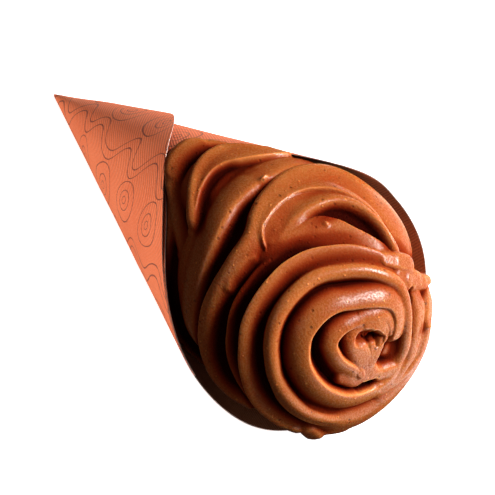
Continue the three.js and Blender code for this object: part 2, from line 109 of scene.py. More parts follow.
# Petals. Each crest is a line over the mound, given at some azimuths by its distance from the top,
# its reach, and by its rise, with the steepness of its outer and its inner side. round is the
# radius that each side starts with, lean pushes the crest out over the crease outside it, and past
# its width the outer side falls away.
PETALS = [
    dict(name="skirt", round=(6, 6), lean=0,
         at=[-10, 10, 30, 50, 70, 88, 98],
         reach=[74, 73, 70, 68, 66, 62, 57],
         rise=[-1.6, -1, -1, -1.5, -2.2, -3, -6],
         outer=[0.3] * 5 + [0.4, 0.5],
         inner=[0.2] * 5 + [0.3, 0.4]),
    dict(name="broad band", round=(20, 2), lean=0,
         at=[-70, -50, -28, -9, 4, 16, 24, 33, 48, 65, 82, 96],
         reach=[64, 65.5, 65.2, 63.4, 62.6, 62, 61, 60, 59.5, 59, 58, 56],
         rise=[-3, -0.5, 0.7, 0.9, 0.9, 0.8, 0.7, 0.5, 0.1, -0.4, -1.4, -5],
         outer=[0.5] + [0.4] * 6 + [0.5] + [0.6] * 4,
         inner=[1.2] * 9 + [1, 0.8, 0.8]),
    dict(name="lobe over the paper", round=(5, 4), lean=0,
         at=[-24, -10, -2, 6, 14, 21, 29, 35, 41, 52],
         reach=[91, 95.5, 97.2, 97.4, 96.4, 94, 88.8, 83.4, 79.4, 75],
         rise=[-2.5, 0.8, 1.8, 2, 2, 2, 1.5, 0.6, -0.5, -3],
         outer=[0.8] * 7 + [0.6, 0.5, 0.4],
         inner=0.4),
    dict(name="tongue", round=(1.6, 2.5), lean=0.15,
         at=[-50, -33, -20, -10, -2, 7, 14, 20, 25, 30, 34, 38],
         reach=[72, 75.5, 80, 84.6, 85.2, 84.2, 82.2, 79.6, 77, 74.2, 72.4, 71],
         rise=[-3, 0, 1.2, 1.8, 2, 2.1, 2.1, 2, 1.8, 1.5, 1, -0.6],
         outer=[1, 1.4, 2, 2.8] + [3] * 4 + [2.6, 2.2, 2, 1.4],
         inner=[1.5, 1, 0.6, 0.5, 0.5, 0.5, 0.6, 0.8, 1, 1.4, 1.5, 1.5]),
    dict(name="tongue's edge", round=(1, 0.3), lean=0, width=7,
         at=[-46, -34, -22, -14, -7, 1, 9, 17, 23, 28, 32, 35],
         reach=[74, 74, 73.4, 74, 75.4, 77.4, 77.7, 76.2, 74.4, 72.4, 71, 70.6],
         rise=[-2, 0.2, 0.8, 1, 1.1, 1.1, 1.1, 1, 0.9, 0.7, 0.3, -1],
         outer=[0.3, 0.1] + [0.03] * 6 + [0.05, 0.1, 0.2, 0.4],
         inner=[2.5] * 11 + [2]),
    dict(name="great petal", round=(2.8, 3), lean=0.15,
         at=[-84, -76, -70, -64, -57, -49, -40, -28, -18, -3, 4, 10, 14, 18, 23, 28, 34, 42, 50, 60, 72,
             84, 94, 101, 107, 112],
         reach=[30, 37, 43.5, 49, 54, 58.5, 61.5, 62, 61, 57.8, 56.2, 54.4, 53, 51.4, 50.2, 49.9, 50.2,
             50.6, 51.5, 52.4, 52.8, 52.8, 51.5, 48.6, 44, 40],
         rise=[-4, 0, 2, 2.8, 2.9, 2.7, 2.2, 1.7, 1.4, 1.2] + [1.1] * 6 + [1, 0.8, 0.6, 0.4, 0.3, 0.2, 0,
             -0.2, -0.6, -2],
         outer=[1] * 8 + [1.2, 1.4, 1.4, 1.4, 1.3, 1.2, 1.1, 1.1, 1.2, 1.3, 1.6, 2, 2.4, 2.4, 2.2, 2, 2,
             2],
         inner=[0.5, 0.4, 0.3, 0.25, 0.22] + [0.2] * 5 + [0.22, 0.25, 0.35, 0.45, 0.5, 0.55, 0.65, 0.75,
             0.85, 0.95, 0.95, 0.9, 0.8, 0.7, 0.6, 0.6]),
    dict(name="great petal's edge", round=(0.4, 2), lean=0.2,
         at=[40, 49, 59, 70, 78, 86, 96, 104, 111],
         reach=[51.6, 53, 53.8, 54, 53.8, 52.8, 50.8, 47, 43],
         rise=[-1.2, -0.3, 0.4, 0.6, 0.6, 0.5, 0.3, -0.2, -1],
         outer=[1.5, 2] + [2.5] * 7,
         inner=[0.9, 1, 1.1, 1.1, 1.1, 1, 0.9, 0.8, 0.7]),
    dict(name="inner lip", round=(4, 0.25), lean=0, width=3,
         at=[-56, -52, -48, -43, -37, -30, -24, -14, -5, 3, 10, 15, 18, 20.5, 24],
         reach=[29.5, 32.5, 38.5, 43, 47, 50.4, 51.9, 52.8, 52.2, 51.2, 49.9, 48.7, 47, 45, 43],
         rise=[-1.5, -0.2, 0.8, 1.2, 1.3, 1.2, 1] + [0.8] * 5 + [0.6, 0.2, -2],
         outer=[0.3] + [0.2] * 12 + [0.4, 0.5],
         inner=[2, 2.4] + [2.8] * 10 + [2.6, 2.6, 2]),
    dict(name="rounded fold", round=(2.2, 1.6), lean=0,
         at=[-62, -56, -51, -47, -43, -38, -33, -28, -23, -17, -10, -2, 6, 14, 22],
         reach=[28, 30.2, 31.6, 34.4, 38.6, 43, 45.2, 46.4, 46.8, 46.6, 46.2, 45.4, 44.4, 43, 42],
         rise=[-2, 0.4, 1.4, 1.8, 1.8, 1.7, 1.6, 1.5, 1.3, 1.1, 0.7, 0.2, -0.3, -0.8, -2.5],
         outer=[0.5, 0.6, 0.8, 0.8, 0.7, 0.6, 0.55, 0.5, 0.45, 0.4, 0.35, 0.3, 0.3, 0.4, 0.5],
         inner=[1.2, 1.6] + [1.8] * 7 + [1.6, 1, 0.4, 0.3, 0.4, 0.5]),
    dict(name="saddle", round=(0.5, 8), lean=0.15,
         at=[-62, -54, -48, -44, -39, -34, -29, -25, -20, -16, -12, -7, 0, 8, 18, 26, 34],
         reach=[25.5, 28, 29.6, 31, 32.6, 34.6, 36.8, 39.2, 41.2, 42.4, 43, 42.8, 42.4, 42.6, 43.6, 44.4,
             45],
         rise=[-2, -0.5, -0.1, 0, -0.2, -0.5, -0.7, -0.8, -0.8, -0.7, -0.6, -0.6, -0.6, -0.7, -0.9, -1.2,
             -2.2],
         outer=[2, 2.2, 2.2] + [2.5] * 6 + [2, 1.2, 0.5, 0.3, 0.3, 0.4, 0.5, 0.6],
         inner=[0.2, 0.15, 0.12] + [0.1] * 8 + [0.12, 0.2, 0.4, 0.9, 1.1, 1.1]),
    dict(name="first skirt petal", round=(0.3, 1.5), lean=0.3,
         at=[9, 16, 23, 32, 41, 49, 58, 66, 72, 81, 88, 98, 106],
         reach=[38.4, 40, 41.2, 42.7, 43.6, 44.4, 44.8, 44.4, 44.2, 43.2, 41.8, 40, 39],
         rise=[-2.2, -1.7, -1.4, -1.2, -1, -0.8, -0.7, -0.6, -0.5, -0.4, -0.4, -0.5, -0.8],
         outer=[0.3, 0.3, 0.4, 0.8, 1.6] + [2.5] * 8,
         inner=[0.8, 1] + [1.1] * 4 + [1] * 5 + [0.9, 0.8]),
    dict(name="second skirt petal", round=(0.35, 3), lean=0.3,
         at=[-66, -51, -32, -17, -7, 6, 14, 23, 33, 47, 59, 70, 79, 88, 97, 106, 115, 125, 140, 155, 172],
         reach=[24.5, 26.6, 29, 31.2, 32.6, 34.8, 35.9, 37.1, 38, 39.2, 39.8, 39.4, 39.2, 38.8, 38.5, 38,
             37.4, 37.4, 37.5, 38, 40],
         rise=[-1.5, 0.2, 0.4, 0.5, 0.6, 0.8, 0.9, 0.9] + [1] * 5 + [0.9, 0.8, 0.6, 0.4, 0.2, -0.6, -1.6,
             -4],
         outer=[1, 1, 1, 1.2, 1.6, 2, 2.4] + [2.5] * 10 + [2.2, 1.6, 1, 1],
         inner=[0.3, 0.3, 0.32, 0.34, 0.4, 0.5, 0.6, 0.7, 0.75, 0.8, 0.85, 0.85, 0.8, 0.75, 0.7, 0.65,
             0.6, 0.55, 0.5, 0.4, 0.4]),
    dict(name="back", round=(9, 4), lean=0,
         at=[120, 140, 154, 170, 185, 200, 215, 235, 255, 270, 284, 296, 310],
         reach=[29, 29, 29, 30, 30.5, 30, 28.5, 26, 24.5] + [24] * 4,
         rise=[-4, -0.8, 0.5, 0.6, 0.5, 0.4, 0.3, 0.3, 0.2, 0, -0.6, -2, -4],
         outer=[0.3, 0.2, 0.16, 0.14] + [0.12] * 4 + [0.14, 0.2, 0.6, 0.8, 0.8],
         inner=[0.3, 0.4, 0.4, 0.35, 0.3, 0.2, 0.15, 0.15] + [0.2] * 5),
    dict(name="ring petal", round=(2.4, 2.2), lean=0.05,
         at=[-150, -136, -125, -115, -103, -90, -78, -66, -57, -40, -22, -12, 0, 9, 17, 26, 35, 50, 66,
             74, 85, 93, 101, 110, 121, 136, 150, 164, 180],
         reach=[19.6, 18.4, 17.2, 16.4, 16, 16.2, 17.2, 18.8, 20, 21.2, 22.8, 23.8, 25.4, 27, 28.2, 29.2,
             30.1, 31, 30.6, 30, 29.4, 28.6, 27.9, 27.4, 27.2, 27.2, 28, 29, 30],
         rise=[0.5, 0.9, 1.2, 1.3, 1.4] + [1.5] * 15 + [1.4, 1.4, 1.3, 1.2, 1, 0.8, 0.6, 0.2, -1.5],
         outer=[0.6, 0.6, 0.8, 1.2, 1.6, 1.8, 1.6, 1.2] + [1] * 4 + [1.2, 1.5, 2, 2.5, 2.8] + [3] * 7 +
             [2.6, 2, 1, 0.4, 0.3],
         inner=[1, 1.8] + [2] * 5 + [2.2, 2.4, 2.6] + [2.8] * 12 + [2.6, 2.4, 2, 1.6, 1.2, 0.8, 0.6]),
    dict(name="ring petal's rim", round=(0.3, 2.5), lean=0.3,
         at=[78, 88, 98, 107, 116, 124, 141, 158, 172],
         reach=[32.2, 31.6, 30.8, 30.2, 29.8, 29.6, 30, 32.2, 35.4],
         rise=[-0.8, 0.1, 0.3, 0.4, 0.4, 0.4, 0.2, -0.1, -1],
         outer=[3] * 6 + [2.5, 2, 1.5],
         inner=[0.6, 0.5, 0.45, 0.4, 0.35, 0.3, 0.25, 0.25, 0.25]),
    dict(name="inner petal", round=(9.5, 0.7), lean=0,
         at=[-107, -92, -81, -70, -61, -51, -40, -17, 5, 15, 25, 33, 41, 53, 62, 74, 86, 98, 111, 128,
             144, 158, 171, 180, 190, 204, 212],
         reach=[9.2, 9.9, 10.6, 11.6, 12.3, 12.8, 12.8, 13, 14.8, 16.5, 18, 19, 19.8, 20.6, 20.4, 19.8,
             18.6, 17.6, 16.9, 16.5, 16.9, 17.4, 18, 18.8, 19.8, 20, 19.6],
         rise=[1.4, 1.7] + [1.8] * 16 + [1.7, 1.6, 1.5, 1.4, 1.3, 1.2, 1.1, 0.9, 0.4],
         outer=[1.9, 1.9, 1.9, 1.8, 1.8, 1.7] + [1.6] * 11 + [1.5, 1.4, 1.3, 1.1, 1, 0.9, 0.8, 0.6, 0.5,
             0.5],
         inner=[2.4, 2.6] + [3] * 21 + [2.4, 1, 0.5, 0.5]),
    dict(name="heart petal", round=(5.5, 0.6), lean=0,
         at=[-95, -80, -66, -52, -40, -29, -10, 5, 14, 24, 32, 41, 49, 57, 66, 80, 99, 117, 130, 142],
         reach=[8.2, 8.5, 8.9, 9.3, 9.3, 9, 8.8, 9.1, 9.8, 10.7, 11.5, 12.3, 12.6, 12.2, 11, 9.5, 8, 7.3,
             7.4, 8],
         rise=[1] + [1.3] * 8 + [1.4, 1.4] + [1.5] * 4 + [1.4, 1.4, 1.3, 1.2, 1],
         outer=[1.5] * 11 + [1.4, 1.4, 1.3, 1.2, 1, 0.8, 0.65, 0.6, 0.6],
         inner=[2.2, 2.2, 2.2, 2, 1.4, 0.8, 0.5, 0.6, 1, 2, 2.6] + [2.8] * 6 + [2.6, 2, 1.6]),
]
LEAN_DEPTH = 3.0  # a leaning petal stands upright again this far under its crest

# Finer forms, in the order that they are put on. A ridge is a rounded line of places, each with its
# azimuth, distance from the top, height and half-width. A hollow is cut down to its bottom between
# two places, strands are ridges that stand in the hollows, and a lump is added between two places.
# All are in degrees and millimetres.
RIDGES = [
    dict(name="heart cone", slope=1.3, round=3.5, line=[
        (22, 8, 0.8, 0.2), (37, 7.2, 0.8, 0.3), (57, 5.5, 0.8, 0.3), (101, 3.3, 0.7, 1.1),
        (158, 4.6, 0.8, 1.6), (160, 8.6, 0.7, 1.2), (173, 12, 0.4, 1.3)]),
    dict(name="bulb", slope=2, round=1.5, line=[
        (24, 8.4, 0.4, 0.4), (4, 8.2, 0.8, 1.1), (-19, 7.3, 1.2, 1.7), (-47, 6.3, 1.3, 1.8),
        (-70, 6, 1.2, 1.5), (-98, 5.6, 0.9, 0.9)]),
    dict(name="bridge", slope=2.5, round=0.8, line=[
        (-82, 3.9, 0.6, 0.8), (-131, 4.8, 0.8, 1), (-176, 7, 0.9, 1)]),
    dict(name="meeting", slope=2, round=2, line=[
        (124, 10.5, 0.3, 2), (150, 10.6, 0.6, 2.3), (174, 11.4, 0.7, 2.3)]),
    dict(name="lower edge of the mouth", slope=1.4, round=1.6, line=[
        (-178, 12.4, 0.8, 1), (-168, 15.4, 0.8, 0.9), (-160, 17, 0.8, 0.8), (-152, 19.6, 0.8, 0.7)]),
    dict(name="torn tab", slope=1.1, round=1.2, line=[
        (-44, 26.2, 0.6, 1.2), (-56, 27, 1.1, 1.6), (-64, 28, 1.5, 1.5)]),
    dict(name="knob", slope=1.2, round=1.6, line=[
        (-60, 22.6, 0.6, 1.8), (-70, 24.2, 1.2, 1.8), (-79, 26.6, 1.6, 1.3), (-85, 28.4, 1.8, 0.7)]),
    dict(name="nub", slope=1.5, round=0.9, line=[(-83, 28.4, 2.1, 0.6), (-87, 30.2, 2.6, 0.5)]),
    dict(name="floor of the bowl", slope=0.5, round=2, line=[
        (16, 45.6, -0.5, 1.2), (4, 47.6, -0.6, 1.4), (-12, 49.4, -1, 0.8)]),
    dict(name="bright fold", slope=0.8, round=1, line=[
        (29, 46, -0.2, 0.3), (32, 47.6, 0.3, 0.4), (38, 48.5, 0.4, 0.5), (43, 49.2, 0.3, 0.4),
        (48, 48.6, -0.2, 0.3)]),
    dict(name="fold by the slit", slope=0.7, round=2, line=[
        (-84, 22.4, 0.9, 1), (-95, 22.4, 1.1, 1.2), (-116, 21.4, 0.9, 0.9), (-139, 23.6, 0.8, 0.4),
        (-158, 24.2, 0.7, 0.3), (-174, 23.2, 0.5, 0.2)]),
    dict(name="outermost fold", slope=0.8, round=1.2, line=[
        (-92, 30.5, 0.9, 0.9), (-100, 28.6, 1.2, 1.2), (-108, 26.6, 1.2, 1.2), (-120, 27.6, 0.9, 0.5),
        (-136, 28.4, 0.8, 0.3), (-148, 27.2, 0.8, 0.3), (-160, 25.4, 0.7, 0.2),
        (-174, 24.2, 0.4, 0.2)]),
    dict(name="drip", slope=1, round=2.5, line=[(142, 35.5, 0.4, 0.9), (149, 38.4, 1.1, 1.1)]),
    dict(name="second drip", slope=0.8, round=2, line=[(133, 37, 0.2, 0.4), (137, 37.2, 0.2, 0.4)]),
    dict(name="third drip", slope=0.8, round=2, line=[(155, 36.4, 0, 0.8), (164, 36.8, 0, 1)]),
    dict(name="floor of the pit", slope=1.2, round=2, line=[(-140, 10.5, -5, 0.5), (-142, 14, -5, 0.5)]),
]
SLIT = [(-73, 21.6), (-85, 18.9), (-100, 17.7), (-116, 18.3)]
HOLLOWS = [
    dict(name="bowl", ends=((20, 4.4), (2, 3.4)), radius=1, bottom=-0.8, slope=1.4, round=1.4),
    dict(name="pit", ends=((-40, 3.1), (-95, 3.6)), radius=0.3, bottom=-2.4, slope=2, round=0.8),
    dict(name="opening of the mouth", ends=((163, 15), (178, 15.8)), radius=1.1, bottom=-6, slope=9,
         round=0.2),
] + [dict(name="slit", ends=ends, radius=0.05, bottom=-1.4, slope=3.4, round=0.3)
     for ends in zip(SLIT, SLIT[1:])]
STRANDS = [
    dict(name="first strand", slope=1.2, round=0.9, line=[
        (-72, 1.9, -0.6, 0.3), (-126, 2, 0.4, 0.5), (-165, 4.3, 0.9, 0.5)]),
    dict(name="second strand", slope=1.2, round=0.9, line=[
        (-100, 5.6, 0.4, 0.5), (-127, 5.4, 0.7, 0.5), (-159, 6, 1, 0.5)]),
    dict(name="end of the slot", slope=1.2, round=0.8, line=[(152, 8.8, 1.1, 0.8), (156, 9.8, 1.3, 0.5)]),
]
LUMPS = [
    dict(name="droplet", ends=((-6, 62.6), (-4, 62.2)), width=0.75, height=1),
    dict(name="pimple", ends=((-15, 39.2), (-15, 39.4)), width=0.7, height=0.9),
    dict(name="low knob", ends=((-113, 25.2), (-113, 25.6)), width=0.8, height=1.3),
]

# The printed ornament, in metres.
MEDALLION_PITCH = (0.024, 0.027)
MEDALLION_RINGS = (0.0015, 0.004, 0.0077)
WAVE_SWING, WAVE_APART = 0.003, 0.0016
DRIFT, DRIFT_SCALES = 0.004, (28.0, 34.0)  # how far the pattern strays, and how often

# Lights, with their places in metres and their sizes, and the camera.
MIDDLE = Vector((0.02, 0, 0.035))
LIGHTS = {
    "key": ((0.46, 0.71, 0.62), 0.5), "fill": ((-0.18, -0.95, 0.11), 0.2),
    "side": ((0.46, 0.71, 0.62), 0.5), "rim": ((-0.22, 0.94, 0.14), 0.2),
    "front": ((0.10, -0.50, 0.75), 0.5), "bounce": ((0.13, 0.352, 0.002), 0.6),
}
BOUNCE_TURN = (180.0, 0.0, 52.5)  # it lies face up on the floor
LIT = {"key": ("gelato_rose", "floor"), "fill": ("rolled_paper", "floor"),
       "side": ("rolled_paper",), "rim": ("rolled_paper",)}  # the others light everything
CAMERA_PLACE = (0.17914, -0.13644, 0.34519)
CAMERA_TURN = (35.887, 0.122, 52.467)
LENS, SENSOR = 87.27, 36.0


# ---- curves and places ----
def catmull(a, b, c, d, t):
    return 0.5 * (2 * b + (c - a) * t + (2 * a - 5 * b + 4 * c - d) * t * t + (3 * b - a - 3 * c + d) * t**3)


def through(knots, values, at):
    """A smooth curve through values at rising knots."""
    knots, values = np.asarray(knots, float), np.asarray(values, float)
    slopes = np.gradient(values, knots)
    i = np.clip(np.searchsorted(knots, at) - 1, 0, len(knots) - 2)
    wide = knots[i + 1] - knots[i]
    t = np.clip((at - knots[i]) / wide, 0, 1)
    return ((1 + 2 * t) * (1 - t) ** 2 * values[i] + t * t * (3 - 2 * t) * values[i + 1]
            + wide * t * (1 - t) * ((1 - t) * slopes[i] - t * slopes[i + 1]))


def around(values, degrees):
    """The same for values that go once round, read at angles in degrees."""
    values = np.asarray(values, float)
    n = len(values)
    x = (np.asarray(degrees, float) / 360 % 1) * n
    i = np.floor(x).astype(int)
    return catmull(values[(i - 1) % n], values[i % n], values[(i + 1) % n], values[(i + 2) % n], x - i)


def smooth(x, low, high):
    t = np.clip((x - low) / (high - low), 0, 1)
    return t * t * (3 - 2 * t)


def wall_slope(azimuth):
    """Radius of the paper's outside for each millimetre along the axis."""
    down = np.cos(np.radians(azimuth - 180))
    flat = math.tan(math.radians(LIE_ANGLE)) / np.maximum(down, 0.5)
    return np.where(down > 0.5, np.minimum(flat, math.tan(math.radians(HALF_ANGLE))),
                    math.tan(math.radians(HALF_ANGLE)))


def across_sheet(thickness):
    return thickness / math.cos(math.radians(HALF_ANGLE))


def lay(radius, azimuth, z):
    """Points of the part's frame, in metres, from the cone's own measures."""
    up, side = radius * np.cos(np.radians(azimuth)), radius * np.sin(np.radians(azimuth))
    rise, run = math.sin(math.radians(LIE_ANGLE)), math.cos(math.radians(LIE_ANGLE))
    return np.stack([run * z - rise * up - REST_FROM_TIP, -side + 0 * z, rise * z + run * up], -1) / 1000


# ---- the mound and its petals ----
def over_edge(azimuth):
    """Where the gelato comes up to the paper's edge, and where it hangs over it, from 0 to 1."""
    first, start, end, last = OVER_EDGE
    turn = (np.asarray(azimuth, float) + 180) % 360 - 180
    up_to = smooth(turn, first, start) * (1 - smooth(turn, end, last))
    return up_to, smooth(turn, start, start + 14) * (1 - smooth(turn, end - 14, end))


def meridians(azimuth, steps=480):
    """Outline of the mound at each azimuth from its top to the paper: radius, z, distance."""
    radius, widest, contact, square = (
        around(v, azimuth)[:, None] for v in (MOUND_RADIUS, MOUND_WIDEST, MOUND_CONTACT, MOUND_SQUARE))
    up_to, over = (v[:, None] for v in over_edge(azimuth))
    edge = around(CUP_EDGE, azimuth - EDGE_FROM)[:, None]
    contact = contact + (edge + LIP - contact) * up_to - OVERHANG * smooth(over, 0.2, 1)
    at_paper = contact * wall_slope(azimuth)[:, None] - across_sheet(WALL + GAP)
    at_paper = at_paper + (across_sheet(WALL + GAP) + HANG_CLEAR) * smooth(over, 0, 0.2)
    turn = np.linspace(0, np.pi, steps + 1)[None]
    c, s = np.abs(np.cos(turn)), np.abs(np.sin(turn))
    scale = (c**square + s**square) ** (-1 / square)
    upper = turn <= np.pi / 2
    rho = np.where(upper, radius * s * scale, at_paper + (radius - at_paper) * s)
    z = np.where(upper, widest + (MOUND_TOP - widest) * c * scale, widest - (widest - contact) * c)
    run = np.hypot(np.diff(rho, axis=1), np.diff(z, axis=1)).cumsum(axis=1)
    return rho, z, np.concatenate([np.zeros((len(run), 1)), run], 1)


def flank(side, slope, round_off):
    """The drop at this distance from a crest: an arc, and then a straight slope."""
    turn = round_off * slope / np.hypot(1, slope)
    arc = round_off - np.sqrt(round_off**2 - np.clip(side, 0, turn) ** 2)
    return arc + slope * np.maximum(side - turn, 0)


def petal_height(petal, azimuth, distance, rho):
    """Height of one petal, and that of its crest at the same azimuth."""
    knots = np.array(petal["at"], float)
    reach, rise, outer, inner = (
        np.broadcast_to(petal[key], knots.shape).astype(float) for key in ("reach", "rise", "outer", "inner"))
    middle = (knots[0] + knots[-1]) / 2
    at = (azimuth - middle + 180) % 360 - 180 + middle
    on_line = np.clip(at, knots[0], knots[-1])
    drift = (through(knots, reach, on_line + 3) - through(knots, reach, on_line - 3)) / math.radians(6)
    slant = np.hypot(1, np.clip(drift[:, None] / np.maximum(rho, 3), -0.8, 0.8))
    reach, rise, outer, inner = (through(knots, v, on_line)[:, None] for v in (reach, rise, outer, inner))
    side = (distance - reach + petal["lean"] * LEAN_DEPTH) / slant
    past_end = np.radians(np.abs(at - on_line))[:, None] * np.maximum(rho, 3)
    off = np.hypot(side, past_end)
    outside = 0.5 + 0.5 * side / np.maximum(off, 1e-6)
    drop = flank(off, outer, petal["round"][0]) + flank(off - petal.get("width", 60), 1.5, 3)
    return rise - outside * drop - (1 - outside) * flank(off, inner, petal["round"][1]), rise


def place_on_mound(azimuth, reach):
    rho, z, distance = meridians(np.array([azimuth]))
    return lay(np.interp(reach, distance[0], rho[0]), azimuth, np.interp(reach, distance[0], z[0])) * 1000


def from_line(points, ends):
    """Distance of points from the straight line between two places on the mound, and how far along."""
    first, last = (place_on_mound(*end) for end in ends)
    run = last - first
    share = np.clip((points - first) @ run / max(run @ run, 1e-9), 0, 1)
    return np.linalg.norm(points - first - share[..., None] * run, axis=-1), share


def ridge_height(ridge, points):
    """Height of a rounded ridge: its line gives places with the height and the half-width there."""
    top = np.full(points.shape[:-1], -99.0)
    for (a, b, rise, half), (c, d, next_rise, next_half) in zip(ridge["line"], ridge["line"][1:]):
        off, share = from_line(points, ((a, b), (c, d)))
        side = off - half - (next_half - half) * share
        top = np.maximum(top, rise + (next_rise - rise) * share - flank(side, ridge["slope"], ridge["round"]))
    return top


def relief(azimuth, distance, rho, z):
    """Height of the petals over the mound, and how far each place is pushed outwards."""
    heights, pushes = [np.full(distance.shape, FLOOR)], [np.zeros(distance.shape)]
    for petal in PETALS:
        height, crest = petal_height(petal, azimuth, distance, rho)
        heights.append(height)
        pushes.append(petal["lean"] * LEAN_DEPTH * smooth(height - crest, -LEAN_DEPTH, 0))
    points = lay(rho, azimuth[:, None], z) * 1000
    for ridge in RIDGES:
        heights.append(ridge_height(ridge, points))
        pushes.append(np.zeros(distance.shape))
    heights, pushes = np.array(heights), np.array(pushes)
    top = heights.max(0)
    weight = np.exp((heights - top) / SOFTNESS)
    push = (weight * pushes).sum(0) / weight.sum(0)
    top = top + SOFTNESS * np.log(weight.sum(0))
    for hollow in HOLLOWS:
        side = from_line(points, hollow["ends"])[0] - hollow["radius"]
        top = np.minimum(top, hollow["bottom"] + flank(side, hollow["slope"], hollow["round"]))
    for strand in STRANDS:
        top = np.maximum(top, ridge_height(strand, points))
    for lump in LUMPS:
        top = top + lump["height"] * np.exp(-((from_line(points, lump["ends"])[0] / lump["width"]) ** 2))
    return top, push


def blurred(values, across, down):
    """values softened over so many columns, which go round, and so many places down each one."""
    for axis, reach in ((0, across), (1, down)):
        bell = np.exp(-np.linspace(-2, 2, 2 * reach + 1) ** 2)
        pad = [(reach, reach) if axis == k else (0, 0) for k in (0, 1)]
        padded = np.pad(values, pad, mode="wrap" if axis == 0 else "edge")
        values = np.apply_along_axis(np.convolve, axis, padded, bell / bell.sum(), "valid")
    return values


def rows_along(azimuth, rho, z, distance, rows):
    """Distances from the top for each row of the mesh, closer together where the relief is steep."""
    steps = distance.shape[1]
    share = np.linspace(0, 1, steps)
    height = relief(azimuth, distance, rho, z)[0]
    apart = np.maximum(distance[:, -1:] / steps, 1e-6)
    slope = np.gradient(height, axis=1) / apart
    bend = np.abs(np.gradient(slope, axis=1)) / apart
    density = 1 + STEEP_WEIGHT * np.abs(slope) + BEND_WEIGHT * np.minimum(bend, BEND_MOST)
    density = blurred(density, 5, 6)
    total = np.cumsum(density, axis=1)
    total = (total - total[:, :1]) / (total[:, -1:] - total[:, :1])
    wanted = np.linspace(0, 1, rows + 1)
    return np.array([np.interp(wanted, total[k], share) for k in range(len(azimuth))])


def depth_and_edge(height, distance):
    """How far each place lies below the crests around it, and how sharp an edge it is, from 0 to 1: they
    drive the painted crease shade and the painted edge highlight.
    """
    even = np.linspace(0, 1, 400)
    share = distance / distance[:, -1:]
    spread = np.array([np.interp(even, share[k], height[k]) for k in range(len(height))])
    pad = sum(SHADE_STEPS)
    top = np.pad(spread, ((0, 0), (pad, pad)), mode="edge")
    for axis, steps in ((1, SHADE_STEPS), (0, SHADE_STEPS[:2])):
        for step in steps:
            top = np.maximum(top, np.maximum(np.roll(top, step, axis), np.roll(top, -step, axis)))
    deep = np.clip((blurred(top[:, pad:-pad], 4, 8) - spread) / SHADE_DEPTH, 0, 1)
    sharp = np.clip((spread - blurred(spread, 2, 4)) / SHARP_EDGE, 0, 1)
    return [np.array([np.interp(share[k], even, v[k]) for k in range(len(height))]) for v in (deep, sharp)]


def gelato_points(azimuth, rows):
    """The rose's surface: rows + 1 places down each azimuth, as radius and z, with their distance from the
    top and the relief's height there.
    """
    rho, z, distance = meridians(azimuth)
    even = rows_along(azimuth, rho, z, distance, rows)
    share = np.linspace(0, 1, rho.shape[1])
    at_rho, at_z, at_distance, along_rho, along_z = (
        np.array([np.interp(even[k], share, table[k]) for k in range(len(azimuth))])
        for table in (rho, z, distance, np.gradient(rho, axis=1), np.gradient(z, axis=1)))
    length = np.maximum(np.hypot(along_rho, along_z), 1e-9)
    down = np.stack([along_rho / length, along_z / length], -1)
    out = np.stack([-down[..., 1], down[..., 0]], -1)
    height, push = relief(azimuth, at_distance, at_rho, at_z)
    part = at_distance / distance[:, -1:]
    fade = 1 - smooth(part, 1 - EDGE_BLEND, 1)
    height, push = height * fade, push * fade * smooth(at_distance, 0, 4)
    radius = at_rho + height * out[..., 0] + push * down[..., 0]
    z = at_z + height * out[..., 1] + push * down[..., 1]
    column = azimuth[:, None]
    room = wall_slope(column) * z - across_sheet(WALL + GAP)
    above = np.maximum(0, z - around(CUP_EDGE, column - EDGE_FROM) - GAP)
    radius = np.where(over_edge(column)[1] > 0, radius, np.minimum(radius, room + 1.2 * above))
    return radius, z, at_distance, height


# ---- working in Blender ----
def start(name, add, **settings):
    """A new primitive, alone in the selection, under its own name."""
    bpy.ops.object.select_all(action="DESELECT")
    add(**settings)
    piece = bpy.context.object
    piece.name = name
    piece.data.name = name
    return piece


def corners(piece):
    co = np.empty(len(piece.data.vertices) * 3)
    piece.data.vertices.foreach_get("co", co)
    return co.reshape(-1, 3)


def move_corners(piece, co):
    piece.data.vertices.foreach_set("co", np.ascontiguousarray(co).ravel())
    piece.data.update()


def turn_faces_out():
    bpy.ops.object.mode_set(mode="EDIT")
    bpy.ops.mesh.select_all(action="SELECT")
    bpy.ops.mesh.normals_make_consistent(inside=False)
    bpy.ops.object.mode_set(mode="OBJECT")


def opaque(colour):
    return tuple(colour)[:3] + (1.0,)


